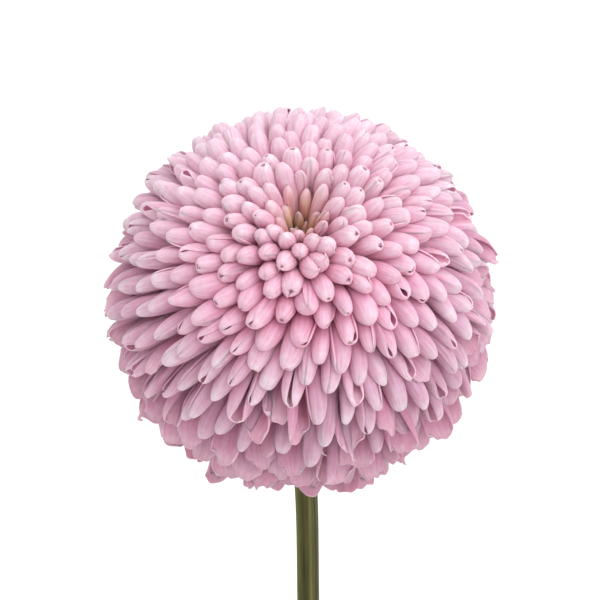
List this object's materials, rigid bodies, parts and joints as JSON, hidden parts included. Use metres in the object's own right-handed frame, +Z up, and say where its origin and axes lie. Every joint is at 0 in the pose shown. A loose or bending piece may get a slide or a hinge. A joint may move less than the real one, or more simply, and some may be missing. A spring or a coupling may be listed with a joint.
{
  "type": "potted chrysanthemum",
  "caption": "Ball-shaped pale pink pompon chrysanthemum bloom, nodding forward on a leafy ribbed stem that grows from a soil-filled plain round plant pot.",
  "frame": {"origin": "middle of the pot's foot, on the surface that the pot stands on", "axes": "+Z up along the pot's axis and the stem; the bloom nods towards -Y, the front; +X to the right seen from the front"},
  "size_m": [0.195, 0.1871, 0.4419],
  "materials": {
    "pot": "satin",
    "soil": "matte",
    "stem": "matte",
    "leaf": "matte",
    "calyx": "matte",
    "petal": "matte"
  },
  "bodies": {
    "root": {"pot": "pot", "soil": "soil", "stem": "stem", "calyx": "calyx", "bloom": "petal", "leaf_01": "leaf", "leaf_02": "leaf", "leaf_03": "leaf", "leaf_04": "leaf", "leaf_05": "leaf", "leaf_06": "leaf", "leaf_07": "leaf", "leaf_08": "leaf", "leaf_09": "leaf", "leaf_10": "leaf", "leaf_11": "leaf", "leaf_12": "leaf"}
  },
  "joints": []
}
